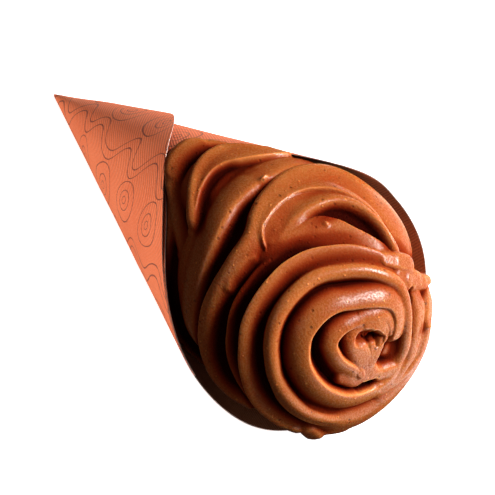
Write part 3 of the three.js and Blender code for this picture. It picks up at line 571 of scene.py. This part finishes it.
class Nodes:
    """Adds nodes to one tree, each with its inputs given as values or as other nodes' sockets."""

    def __init__(self, tree):
        self.tree = tree
        tree.nodes.clear()

    def add(self, kind, settings=None, **inputs):
        node = self.tree.nodes.new(kind)
        for key, value in (settings or {}).items():
            setattr(node, key, value)
        for key, value in inputs.items():
            self.feed(node.inputs[key.replace("_", " ")], value)
        return node

    def feed(self, socket, value):
        if isinstance(value, bpy.types.NodeSocket):
            self.tree.links.new(value, socket)
        elif value is not None:
            socket.default_value = value

    def math(self, operation, a, b=None, c=None, clamp=False):
        node = self.add("ShaderNodeMath", dict(operation=operation, use_clamp=clamp))
        for socket, value in zip(node.inputs, (a, b, c)):
            self.feed(socket, value)
        return node.outputs[0]

    def times(self, a, b):
        return self.math("MULTIPLY", a, b)

    def plus(self, a, b):
        return self.math("ADD", a, b)

    def minus(self, a, b):
        return self.math("SUBTRACT", a, b)

    def span(self, value, low, high, to_low=0.0, to_high=1.0, kind="SMOOTHSTEP"):
        node = self.add("ShaderNodeMapRange", dict(interpolation_type=kind), Value=value)
        for name, number in (("From Min", low), ("From Max", high), ("To Min", to_low), ("To Max", to_high)):
            self.feed(node.inputs[name], number)
        return node.outputs[0]

    def mix(self, share, a, b):
        """A blend of two colours, which may be given as three numbers."""
        node = self.add("ShaderNodeMix", dict(data_type="RGBA"))
        for place, value in ((0, share), (6, a), (7, b)):
            colour = place and not isinstance(value, bpy.types.NodeSocket)
            self.feed(node.inputs[place], opaque(value) if colour else value)
        return node.outputs[2]

    def noise(self, vector, scale, detail=2.0, roughness=0.5):
        node = self.add("ShaderNodeTexNoise", Vector=vector, Scale=scale, Detail=detail, Roughness=roughness)
        return node.outputs["Fac"]

    def bump(self, height, distance, strength=1.0, normal=None):
        node = self.add("ShaderNodeBump", Height=height, Distance=distance, Strength=strength)
        if normal is not None:
            self.feed(node.inputs["Normal"], normal)
        return node.outputs["Normal"]

    def surface(self, **sockets):
        shader = self.add("ShaderNodeBsdfPrincipled", **sockets)
        out = self.add("ShaderNodeOutputMaterial")
        self.tree.links.new(shader.outputs[0], out.inputs["Surface"])
        return shader


def new_material(name):
    material = bpy.data.materials.new(name)
    material.use_nodes = True
    return material, Nodes(material.node_tree)


# ---- finishes ----
def pressed_ribs():
    """Fine parallel ribs across the V of a map in metres: their profile, 1 on a ridge."""
    found = bpy.data.node_groups.get("Pressed ribs")
    if found:
        return found
    tree = bpy.data.node_groups.new("Pressed ribs", "ShaderNodeTree")
    make = Nodes(tree)
    for label, way, kind in (("Vector", "INPUT", "NodeSocketVector"), ("Pitch", "INPUT", "NodeSocketFloat"),
                             ("Profile", "OUTPUT", "NodeSocketFloat")):
        tree.interface.new_socket(label, in_out=way, socket_type=kind)
    given, result = make.add("NodeGroupInput"), make.add("NodeGroupOutput")
    parts = make.add("ShaderNodeSeparateXYZ", Vector=given.outputs["Vector"])
    wobble = make.times(make.noise(given.outputs["Vector"], 90.0), 0.0004)
    place = make.plus(parts.outputs["Y"], wobble)
    turns = make.math("DIVIDE", make.times(place, 2 * math.pi), given.outputs["Pitch"])
    make.feed(result.inputs["Profile"], make.math("MULTIPLY_ADD", make.math("SINE", turns), 0.5, 0.5))
    return tree


def line_ornament(make, vector, line):
    """Generic line ornament in metres: staggered round medallions with waves between the rows."""
    parts = make.add("ShaderNodeSeparateXYZ", Vector=vector)
    pitch_u, pitch_v = MEDALLION_PITCH
    u, v = (
        make.plus(parts.outputs[axis],
                  make.span(make.noise(vector, scale, 1.0), 0.2, 0.8, -DRIFT, DRIFT, kind="LINEAR"))
        for axis, scale in zip("XY", DRIFT_SCALES))
    row = make.math("FLOOR", make.math("DIVIDE", v, pitch_v))
    odd = make.math("MODULO", make.math("ABSOLUTE", row), 2.0)
    shifted = make.plus(u, make.times(odd, pitch_u / 2))
    across = make.math("WRAP", shifted, pitch_u / 2, -pitch_u / 2)
    up = make.minus(make.minus(v, make.times(row, pitch_v)), pitch_v / 2)
    from_centre = make.math("SQRT", make.plus(make.times(across, across), make.times(up, up)))
    swing = make.math("SINE", make.times(make.plus(u, pitch_u / 4), 2 * math.pi / pitch_u))
    from_row = make.minus(make.math("WRAP", v, pitch_v / 2, -pitch_v / 2), make.times(swing, WAVE_SWING))
    ink = 0.0
    for place, offsets, thin, wide in ((from_centre, MEDALLION_RINGS, 0.5, 0.9),
                                       (from_row, (-WAVE_APART, WAVE_APART), 0.6, 1.0)):
        for offset in offsets:
            edge = make.math("ABSOLUTE", make.minus(place, offset))
            ink = make.math("MAXIMUM", ink, make.span(edge, line * thin, line * wide, 1.0, 0.0))
    return ink


def paper_material(name, colour, shade, settings, printed):
    """Ribbed paper, with the ornament on its printed side."""
    material, make = new_material(name)
    ribs_map, sheet_map = (
        make.add("ShaderNodeUVMap", dict(uv_map=uv_map)).outputs[0] for uv_map in ("ribs", "sheet"))
    profile = make.add("ShaderNodeGroup", dict(node_tree=pressed_ribs()), Vector=ribs_map,
                       Pitch=settings.rib_pitch).outputs["Profile"]
    place = make.add("ShaderNodeTexCoord").outputs["Object"]
    blotch = make.noise(place, 60.0, 3.0)
    fibre = make.noise(place, 2200.0, 3.0, 0.6)
    base = make.mix(make.span(blotch, 0.35, 0.7), colour, shade)
    # painted shade in the hollows between the pressed ribs
    hollow = make.times(make.minus(1.0, profile), settings.rib_shade)
    base = make.mix(hollow, base, [0.35 * c for c in shade])
    base = make.mix(make.span(fibre, 0.35, 0.75, 0.0, 0.12), base, (1.0, 0.72, 0.55))
    roughness = make.span(fibre, 0.2, 0.8, 0.5, 0.66)
    if printed:
        ink = line_ornament(make, sheet_map, settings.line_width)
        worn = make.times(ink, make.span(profile, 0.0, 0.35, 0.72, 1.0))
        base = make.mix(make.times(worn, 0.85), base, settings.ink)
        roughness = make.minus(roughness, make.times(ink, 0.12))
    normal = make.bump(profile, settings.rib_depth, 1.0, make.bump(fibre, 0.00002, 0.5))
    make.surface(
        Base_Color=base, Roughness=roughness, Normal=normal, Specular_IOR_Level=0.2,
        Sheen_Weight=0.12 if printed else 0.03, Sheen_Tint=(1.0, 0.7, 0.55, 1.0), Sheen_Roughness=0.35)
    return material


def paper_edge_material():
    """The cut edge, which shows the sheet's pale core."""
    material, make = new_material("Paper cut edge")
    place = make.add("ShaderNodeTexCoord").outputs["Object"]
    grain = make.noise(place, 1500.0, 2.0)
    base = make.mix(grain, (0.86, 0.62, 0.5), (0.95, 0.84, 0.76))
    make.surface(Base_Color=base, Roughness=make.span(grain, 0.0, 1.0, 0.7, 0.9),
                 Normal=make.bump(grain, 0.00003))
    return material


def specks(make, place, scale, rarity):
    """Small scattered dots: 1 in the middle of one."""
    cells = make.add("ShaderNodeTexVoronoi", dict(feature="F1"), Vector=place, Scale=scale, Randomness=1.0)
    chosen = make.span(cells.outputs["Color"], rarity, rarity + 0.04, kind="LINEAR")
    return make.times(make.span(cells.outputs["Distance"], 0.1, 0.26, 1.0, 0.0), chosen)


def gelato_material(settings):
    """Smooth moist gelato: long strokes of the spatula, small bubbles pressed in with painted shade in their
    pinholes and painted glints on their specks, painted shade down the creases, a painted highlight along
    sharp edges, and a soft glow inside.
    """
    material, make = new_material("Chocolate gelato")
    place = make.add("ShaderNodeTexCoord").outputs["Object"]
    flow, depth, edge = (
        make.add("ShaderNodeAttribute", dict(attribute_name=name)).outputs[output]
        for name, output in (("flow", "Vector"), ("depth", "Fac"), ("edge", "Fac")))
    cloud = make.noise(place, 45.0, 3.0)
    streak = make.noise(flow, 1.0, 3.0, 0.55)
    fine = make.noise(place, 1700.0, 3.0, 0.6)
    shaded_pinholes = specks(make, place, 430.0, 0.66)
    grain = specks(make, place, 560.0, 0.68)
    base = settings.colour
    for share, colour in (
            (make.span(cloud, 0.35, 0.7), settings.deep),
            # painted highlight: a lighter colour along the sharp edges of the petals
            (make.times(edge, settings.edge_highlight_share), settings.edge),
            (make.span(fine, 0.4, 0.65, 0.0, 0.14), settings.edge),
            # painted shade in the small pinholes
            (make.times(shaded_pinholes, 0.5), settings.crease_shade),
            # painted glints: small light specks
            (make.times(grain, 0.8), settings.edge),
            # painted shade: darker colours down the sides and at the bottom of the creases, by how deep a
            # place lies
            (make.span(depth, 0.05, 0.5), settings.middle),
            (make.span(depth, 0.24, 0.68), settings.crease_shade)):
        base = make.mix(share, base, colour)
    uneven = make.plus(make.times(streak, 0.6), make.times(fine, 0.4))
    roughness = make.span(uneven, 0.3, 0.7, settings.roughness - 0.06, settings.roughness + 0.08)
    roughness = make.math("ADD", roughness, make.times(depth, 0.45), clamp=True)
    normal = make.bump(streak, 0.00012, 0.5)
    normal = make.bump(fine, 0.00026, 0.9, normal)
    normal = make.bump(make.minus(grain, shaded_pinholes), 0.00022, 1.0, normal)
    wet = make.times(make.span(depth, 0.05, 0.4, settings.wet, 0.0), make.span(fine, 0.38, 0.62, 0.45, 1.65))
    make.surface(
        Base_Color=base, Roughness=roughness, Coat_Weight=wet, Normal=normal, Subsurface_Weight=0.35,
        Subsurface_Radius=(1.0, 0.22, 0.1), Subsurface_Scale=0.003, Specular_IOR_Level=0.0,
        Coat_Roughness=0.3, Coat_IOR=1.45)
    return material


# ---- sizes and colours that can be changed ----
COLOUR = dict(subtype="COLOR", size=3, min=0, max=1)
LENGTH = dict(unit="LENGTH", precision=6)
SHARE = dict(subtype="FACTOR", min=0, max=1)
POWER = dict(unit="POWER", min=0)
STRENGTH = dict(min=0)


def setting(name, description, default, **limits):
    kind = FloatVectorProperty if "size" in limits else FloatProperty
    return kind(name=name, description=description, default=default, **limits)


class PaperSettings(bpy.types.PropertyGroup):
    thickness: setting("Thickness", "Of one layer of the sheet", 0.00028, min=0.0001, max=0.0003, **LENGTH)
    rib_pitch: setting("Rib pitch", "Between the pressed ribs", 0.0009, min=0.0002, max=0.003, **LENGTH)
    rib_depth: setting("Rib depth", "Of the pressed ribs", 0.00006, min=0, max=0.0005, **LENGTH)
    # painted shade in the rib hollows
    rib_shade: setting("Rib shade", "How much darker the hollows are", 0.5, **SHARE)
    line_width: setting("Line width", "Of the printed ornament", 0.00026, min=0.00005, max=0.002, **LENGTH)
    outside: setting("Outside", "Colour of the printed side", (0.93, 0.205, 0.072), **COLOUR)
    outside_shade: setting("Outside shade", "Its darker patches", (0.87, 0.175, 0.058), **COLOUR)
    inside: setting("Inside", "Colour of the inner side", (0.58, 0.2, 0.08), **COLOUR)
    ink: setting("Ink", "Colour of the ornament", (0.14, 0.045, 0.035), **COLOUR)


class GelatoSettings(bpy.types.PropertyGroup):
    columns: IntProperty(name="Columns", description="Of the mesh, round the rose", default=324, min=60,
                         max=330)
    rows: IntProperty(name="Rows", description="Of the mesh, from the heart to the paper", default=300,
                      min=60, max=303)
    colour: setting("Colour", "Of the gelato", (0.31, 0.083, 0.017), **COLOUR)
    deep: setting("Deeper colour", "Of its darker clouds", (0.25, 0.051, 0.009), **COLOUR)
    # painted shade on the sides of the creases
    middle: setting("Half-depth colour", "On the sides of the creases", (0.21, 0.018, 0.004), **COLOUR)
    # painted shade at the bottom of the creases
    crease_shade: setting("Crease colour", "At the bottom of the creases", (0.02, 0.0016, 0.0008), **COLOUR)
    # painted highlight along sharp edges and on the glint specks, and the tone of the fine random grain
    edge: setting("Edge colour", "Of thin edges that let light through", (0.62, 0.21, 0.05), **COLOUR)
    edge_highlight_share: setting("Edge share", "How far thin edges take their colour", 0.8, **SHARE)
    wet: setting("Wet", "Share of the wet film outside the creases", 0.6, **SHARE)
    roughness: setting("Roughness", "Of the moist surface", 0.42, **SHARE)


class StudioSettings(bpy.types.PropertyGroup):
    floor: setting("Floor", "Colour of the floor", (0.9, 0.9, 0.9), **COLOUR)
    key: setting("Key light", "The large soft light on the gelato", 29.0, **POWER)
    fill: setting("Fill light", "Across from it, on the paper", 10.0, **POWER)
    side: setting("Side light", "On the paper from the key's place", 1.5, **POWER)
    rim: setting("Rim light", "Along the paper's upper edge", 16.0, **POWER)
    front: setting("Front light", "Weak, beside the camera", 0.5, **POWER)
    bounce: setting("Bounce", "A low card at the mouth's side", 2.6, **POWER)
    glow: setting("Floor glow", "Light from under the pale floor", 0.84, **STRENGTH)
    sky: setting("Surroundings", "Light from all sides", 0.06, **STRENGTH)
    overhead: setting("Overhead", "Light from above", 0.1, **STRENGTH)


# ---- pieces ----
class CONE_OT_roll_paper(bpy.types.Operator):
    """Cut a sheet, give it its thickness and roll it into the cone with its flap"""

    bl_idname = "cone.roll_paper"
    bl_label = "Roll the paper"

    def execute(self, context):
        settings = context.scene.cone_paper
        sheet = start("rolled_paper", bpy.ops.mesh.primitive_grid_add, x_subdivisions=SHEET_GRID[0],
                      y_subdivisions=SHEET_GRID[1], size=1)
        wall = sheet.modifiers.new("Thickness", "SOLIDIFY")
        wall.thickness, wall.offset = 0.1, -1
        wall.material_offset, wall.material_offset_rim = 1, 2
        inner_shade = [0.8 * c for c in settings.inside]
        for material in (
                paper_material("Printed paper", settings.outside, settings.outside_shade, settings, True),
                paper_material("Paper inside", settings.inside, inner_shade, settings, False),
                paper_edge_material()):
            sheet.data.materials.append(material)
        bpy.ops.object.modifier_apply(modifier=wall.name)

        flat = corners(sheet)
        turn = ROLL_FROM + (ROLL_TO - ROLL_FROM) * (flat[:, 0] + 0.5)
        up = flat[:, 1] + 0.5
        inward = -flat[:, 2] / 0.1
        radius, z = self.rolled(turn, up, inward, settings.thickness * 1000)
        self.map_sheet(sheet, turn, z)
        move_corners(sheet, lay(radius, turn, z))
        turn_faces_out()
        bpy.ops.object.shade_smooth_by_angle(angle=math.radians(40))
        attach(sheet, "root")
        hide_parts("paper_cone")
        return {"FINISHED"}

    @staticmethod
    def rolled(turn, up, inward, thickness):
        """Radius and z of each corner of the sheet, which winds inwards as it turns."""
        edge = through(EDGE_FROM + 30 * np.arange(len(SHEET_EDGE)), SHEET_EDGE, turn)
        corner = np.clip((ROLL_FROM + CORNER - turn) / CORNER, 0, 1)
        edge = edge - CORNER_DROP * (1 - np.sqrt(1 - corner**2))
        z = TIP + 0.2 + (edge - TIP - 0.2) * up**0.9
        free = 1 - smooth(turn, ROLL_FROM, FLAP_DOWN)
        on_top = smooth(z, 12, 40) * (1 - smooth(turn, *ON_TOP))
        under = smooth(turn, UNDER_FROM, ROLL_TO)
        lift = FLAP_LIFT * z * free + across_sheet(WALL) * on_top - across_sheet(thickness + 0.02) * under
        wave = WAVE * np.sin(np.radians(3 * turn) + z / 14) * smooth(z, 20, 60) * smooth(edge - z, -5, 40)
        grown = across_sheet(thickness) * np.minimum(1, z / 12)
        on_bed = smooth(turn, *BED[:2]) * (1 - smooth(turn, *BED[2:]))
        radius = wall_slope(turn) * z + lift - grown * inward - np.abs(wave) * (1 - under) * (1 - on_bed)
        return np.maximum(radius, 0.02), z

    @staticmethod
    def map_sheet(sheet, turn, z):
        """Two maps in metres: the flat sheet for the print, and one that runs along the ribs."""
        slant = z / math.cos(math.radians(HALF_ANGLE)) / 1000
        sweep = np.radians(turn * math.sin(math.radians(HALF_ANGLE)))
        loop_corner = np.empty(len(sheet.data.loops), int)
        sheet.data.loops.foreach_get("vertex_index", loop_corner)
        turned = sweep - PRINT_TURN
        print_map = np.stack([slant * np.cos(turned), slant * np.sin(turned)], 1)[loop_corner]
        middle = np.empty(len(sheet.data.polygons) * 3)
        sheet.data.polygons.foreach_get("center", middle)
        middle = ROLL_FROM + (ROLL_TO - ROLL_FROM) * (middle[::3] + 0.5)
        count = np.empty(len(sheet.data.polygons), int)
        sheet.data.polygons.foreach_get("loop_total", count)
        past_seam = np.repeat(middle > RIB_SEAM, count)
        tilt = np.radians(np.where(past_seam, RIB_TILTS[1], RIB_TILTS[0]))
        out = slant[loop_corner]
        at = sweep[loop_corner]
        ribs_map = np.stack([out * np.cos(at - tilt), out * np.sin(at - tilt)], 1)
        for name, coordinates in (("sheet", print_map), ("ribs", ribs_map)):
            layer = sheet.data.uv_layers.new(name=name)
            layer.data.foreach_set("uv", coordinates.ravel())


class CONE_OT_pipe_gelato(bpy.types.Operator):
    """Draw a sphere out into the mound, raise the petals on it and give it its finish"""

    bl_idname = "cone.pipe_gelato"
    bl_label = "Pipe the gelato"

    def execute(self, context):
        settings = context.scene.cone_gelato
        columns, rows = settings.columns, settings.rows
        rings = rows + ROWS_INSIDE
        rose = start("gelato_rose", bpy.ops.mesh.primitive_uv_sphere_add, segments=columns,
                     ring_count=rings, radius=1)
        ball = corners(rose)
        ring = np.rint(np.arccos(np.clip(ball[:, 2], -1, 1)) / math.pi * rings).astype(int)
        column = np.rint(np.arctan2(ball[:, 1], ball[:, 0]) / (2 * math.pi) * columns).astype(int) % columns
        azimuth = self.columns_at(columns)
        radius, z, distance, height = gelato_points(azimuth, rows)
        low_r, low_z = self.inside_paper(azimuth, radius[:, -1:], z[:, -1:])
        radius, z = np.concatenate([radius, low_r], 1), np.concatenate([z, low_z], 1)
        radius[:, 0] = 0
        z[:, 0] = z[:, 0].mean()
        place = lay(radius, azimuth[:, None], z)
        move_corners(rose, place[column, ring])
        self.store(rose, column, np.minimum(ring, rows), azimuth, radius, distance, height)
        turn_faces_out()
        bpy.ops.object.shade_smooth()
        rose.data.materials.append(gelato_material(settings))
        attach(rose, "root")
        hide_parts("ice_cream")
        return {"FINISHED"}

    @staticmethod
    def inside_paper(azimuth, last_radius, last_z):
        """The rest of the surface: up and over the paper's edge where it hangs over, and down inside."""
        column = azimuth[:, None]
        over = over_edge(column)[1]
        edge = around(CUP_EDGE, column - EDGE_FROM) + LIP
        tuck = across_sheet(WALL + GAP)
        outer_z = np.where(over > 0, np.maximum(last_z, edge), last_z - 0.3)
        outer = np.where(over > 0, last_radius, wall_slope(column) * outer_z - tuck)
        inner_z = np.where(over > 0, outer_z, last_z - 0.7) - 0.1
        share = np.linspace(0, 1, ROWS_INSIDE - 1)[None]
        z = np.concatenate([outer_z, inner_z + (FILL_FROM - inner_z) * share], 1)
        radius = np.concatenate([outer, wall_slope(column) * z[:, 1:] - tuck], 1)
        radius[:, -1] = 0
        return radius, z

    @staticmethod
    def columns_at(columns):
        """Azimuths of the mesh's columns, closer together on the side that shows."""
        even = np.linspace(0, 360, 721)
        density = 1 + MORE_THERE * (0.5 + 0.5 * np.cos(np.radians(even - SHOWN_SIDE)))
        total = np.concatenate([[0], np.cumsum((density[1:] + density[:-1]) / 2)])
        return np.interp(np.linspace(0, total[-1], columns, endpoint=False), total, even)

    @staticmethod
    def store(rose, column, ring, azimuth, radius, distance, height):
        """Attributes that the finish reads: which way the strokes run, how deep a place lies, for the painted
        crease shade, and how sharp an edge it is, for the painted edge highlight.
        """
        turn = np.radians(azimuth)[:, None] + 0 * distance
        flow = np.stack([4 * np.cos(turn), 4 * np.sin(turn), distance * 0.9], -1)[column, ring]
        rose.data.attributes.new("flow", "FLOAT_VECTOR", "POINT").data.foreach_set(
            "vector", flow.astype(np.float32).ravel())
        for name, values in zip(("depth", "edge"), depth_and_edge(height, distance)):
            rose.data.attributes.new(name, "FLOAT", "POINT").data.foreach_set(
                "value", values[column, ring].astype(np.float32))


class CONE_OT_set_studio(bpy.types.Operator):
    """Lay a pale floor, light it softly and place the camera"""

    bl_idname = "cone.set_studio"
    bl_label = "Set the studio"

    def execute(self, context):
        settings = context.scene.cone_studio
        floor = start("floor", bpy.ops.mesh.primitive_plane_add, size=6, location=(0, 0, 0))
        material, make = new_material("Pale floor")
        place = make.add("ShaderNodeTexCoord").outputs["Object"]
        tone = make.mix(make.noise(place, 3.0), settings.floor, [0.98 * c for c in settings.floor])
        make.surface(Base_Color=tone, Roughness=0.8, Emission_Color=(1.0, 1.0, 1.0, 1.0),
                     Emission_Strength=settings.glow)
        floor.data.materials.append(material)
        floor.visible_glossy = floor.visible_diffuse = False
        world = bpy.data.worlds.new("Studio")
        context.scene.world = world
        world.use_nodes = True
        make = Nodes(world.node_tree)
        out = make.add("ShaderNodeOutputWorld")
        up = make.add("ShaderNodeSeparateXYZ", Vector=make.add("ShaderNodeTexCoord").outputs["Generated"])
        over = make.span(up.outputs["Z"], 0.0, 0.75, settings.sky, settings.overhead)
        strength = make.span(up.outputs["Z"], -0.1, 0.1, 0.04, over)
        back = make.add("ShaderNodeBackground", Color=(1.0, 0.68, 0.62, 1.0), Strength=strength)
        world.node_tree.links.new(back.outputs[0], out.inputs["Surface"])
        for name, (place, size) in LIGHTS.items():
            lamp = self.light(name, place, size, getattr(settings, name))
            if name in LIT:
                lit = bpy.data.collections.new("lit by the " + name)
                for piece in LIT[name]:
                    lit.objects.link(bpy.data.objects[piece])
                lamp.light_linking.receiver_collection = lit
        bounce = bpy.data.objects["bounce"]
        bounce.rotation_euler = [math.radians(a) for a in BOUNCE_TURN]
        bounce.visible_camera = False
        context.scene.view_settings.view_transform = "Standard"
        camera = bpy.data.objects.new("camera", bpy.data.cameras.new("camera"))
        context.scene.collection.objects.link(camera)
        camera.location = CAMERA_PLACE
        camera.rotation_euler = [math.radians(a) for a in CAMERA_TURN]
        camera.data.sensor_width, camera.data.lens = SENSOR, LENS
        context.scene.camera = camera
        return {"FINISHED"}

    @staticmethod
    def light(name, place, size, power):
        lamp = bpy.data.lights.new(name, "AREA")
        lamp.size, lamp.energy = size, power
        holder = bpy.data.objects.new(name, lamp)
        bpy.context.scene.collection.objects.link(holder)
        holder.location = place
        holder.rotation_euler = (MIDDLE - Vector(place)).to_track_quat("-Z", "Y").to_euler()
        return holder


class CONE_PT_panel(bpy.types.Panel):
    """Buttons in the order that they are pressed, with each one's sizes and colours"""

    bl_idname = "CONE_PT_panel"
    bl_label = "Gelato Cone"
    bl_space_type = "VIEW_3D"
    bl_region_type = "UI"
    bl_category = "Gelato Cone"

    def draw(self, context):
        for step, settings in ((CONE_OT_roll_paper, context.scene.cone_paper),
                               (CONE_OT_pipe_gelato, context.scene.cone_gelato),
                               (CONE_OT_set_studio, context.scene.cone_studio)):
            box = self.layout.box()
            for name in settings.bl_rna.properties.keys():
                if name not in ("rna_type", "name"):
                    box.prop(settings, name)
            box.operator(step.bl_idname)


CLASSES = (PaperSettings, GelatoSettings, StudioSettings, CONE_OT_roll_paper, CONE_OT_pipe_gelato,
           CONE_OT_set_studio, CONE_PT_panel)


def register():
    for cls in CLASSES:
        bpy.utils.register_class(cls)
    bpy.types.Scene.cone_paper = PointerProperty(type=PaperSettings)
    bpy.types.Scene.cone_gelato = PointerProperty(type=GelatoSettings)
    bpy.types.Scene.cone_studio = PointerProperty(type=StudioSettings)


def unregister():
    del bpy.types.Scene.cone_paper, bpy.types.Scene.cone_gelato, bpy.types.Scene.cone_studio
    for cls in reversed(CLASSES):
        bpy.utils.unregister_class(cls)


def main():
    register()
    bpy.ops.cone.roll_paper()
    bpy.ops.cone.pipe_gelato()
    bpy.ops.cone.set_studio()
    bpy.context.view_layer.update()


if __name__ == "__main__":
    main()
